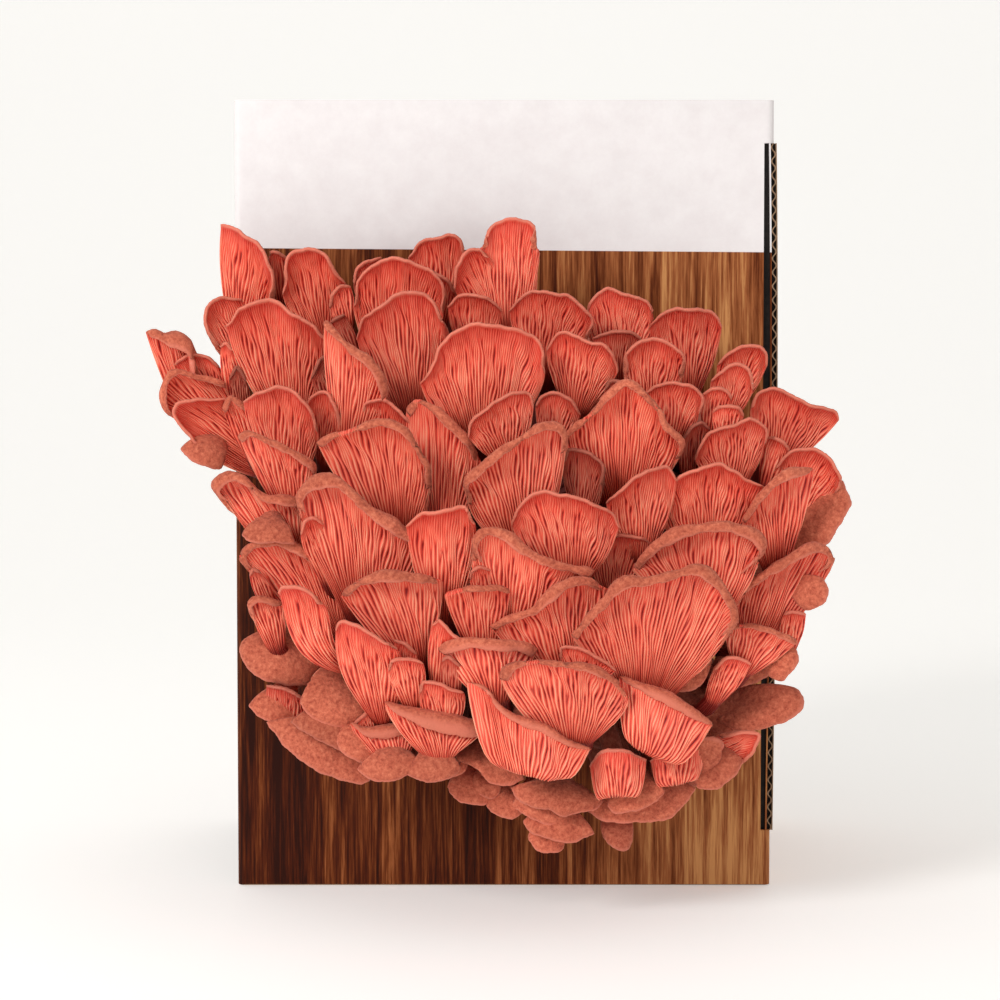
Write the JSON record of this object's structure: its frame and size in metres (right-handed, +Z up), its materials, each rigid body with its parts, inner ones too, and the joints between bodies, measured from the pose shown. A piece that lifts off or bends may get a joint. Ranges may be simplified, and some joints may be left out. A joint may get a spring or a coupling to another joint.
{
  "type": "oyster mushroom grow kit",
  "caption": "Grow kit: a cluster of pink oyster mushrooms fruiting from a window in the front of its printed carton, with the colonised sawdust block in a film bag inside.",
  "frame": {"origin": "middle of the carton's underside", "axes": "+Z up, -Y out of the carton's front, +X to the right as seen from the front"},
  "size_m": [0.1943, 0.196, 0.24],
  "materials": {
    "printed_board": "corrugated board printed with dark wood grain, matt white band at the top",
    "colonised_sawdust": "pressed sawdust grown through with white mycelium",
    "bag_film": "milky polypropylene film",
    "pale_flesh": "fused pale stems",
    "gill_flesh": "coral gills, satin",
    "cap_felt": "fine matt felt"
  },
  "bodies": {
    "root": {"carton": "printed_board", "substrate_block": "colonised_sawdust", "grow_bag": "bag_film", "cluster_base": "pale_flesh", "mushroom_01": "gill_flesh", "mushroom_02": "gill_flesh", "mushroom_03": "gill_flesh", "mushroom_04": "gill_flesh", "mushroom_05": "gill_flesh", "mushroom_06": "gill_flesh", "mushroom_07": "gill_flesh", "mushroom_08": "gill_flesh", "mushroom_09": "gill_flesh", "mushroom_10": "gill_flesh", "mushroom_11": "gill_flesh", "mushroom_12": "gill_flesh", "mushroom_13": "gill_flesh", "mushroom_14": "gill_flesh", "mushroom_15": "gill_flesh", "mushroom_16": "gill_flesh", "mushroom_17": "gill_flesh", "mushroom_18": "gill_flesh", "mushroom_19": "gill_flesh", "mushroom_20": "gill_flesh", "mushroom_21": "gill_flesh", "mushroom_22": "gill_flesh", "mushroom_23": "gill_flesh", "mushroom_24": "gill_flesh", "mushroom_25": "gill_flesh", "mushroom_26": "gill_flesh", "mushroom_27": "gill_flesh", "mushroom_28": "gill_flesh", "mushroom_29": "gill_flesh", "mushroom_30": "gill_flesh", "mushroom_31": "gill_flesh", "mushroom_32": "gill_flesh", "mushroom_33": "gill_flesh", "mushroom_34": "gill_flesh", "mushroom_35": "gill_flesh", "mushroom_36": "gill_flesh", "mushroom_37": "gill_flesh", "mushroom_38": "gill_flesh", "mushroom_39": "gill_flesh", "mushroom_40": "gill_flesh", "mushroom_41": "gill_flesh", "mushroom_42": "gill_flesh", "mushroom_43": "gill_flesh", "mushroom_44": "gill_flesh", "mushroom_45": "cap_felt", "mushroom_46": "gill_flesh", "mushroom_47": "gill_flesh", "mushroom_48": "gill_flesh", "mushroom_49": "cap_felt", "mushroom_50": "gill_flesh", "mushroom_51": "gill_flesh", "mushroom_52": "gill_flesh", "mushroom_53": "gill_flesh", "mushroom_54": "gill_flesh", "mushroom_55": "cap_felt", "mushroom_56": "cap_felt"}
  },
  "joints": []
}
